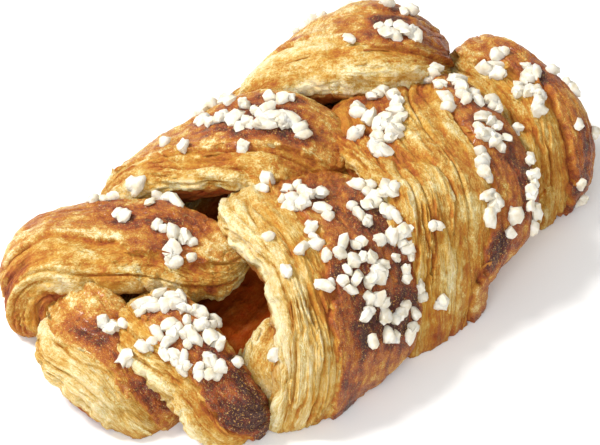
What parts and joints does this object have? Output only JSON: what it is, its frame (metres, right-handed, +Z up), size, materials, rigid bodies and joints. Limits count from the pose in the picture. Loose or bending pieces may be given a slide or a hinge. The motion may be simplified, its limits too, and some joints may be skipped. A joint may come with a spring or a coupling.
{
  "type": "danish pastry",
  "caption": "Braided danish pastry of flaky layered dough with a browned glossy crust, overlapping turns and pearl sugar",
  "frame": {"origin": "middle of the flat base, on the surface that the pastry lies on", "axes": "+X runs along the braid towards the end that the turns lean to, +Y towards the side turns, +Z up"},
  "size_m": [0.1581, 0.0937, 0.04],
  "materials": {
    "baked_dough": "egg-washed, browned and flaky"
  },
  "bodies": {
    "root": {"pastry": "baked_dough"}
  },
  "joints": []
}
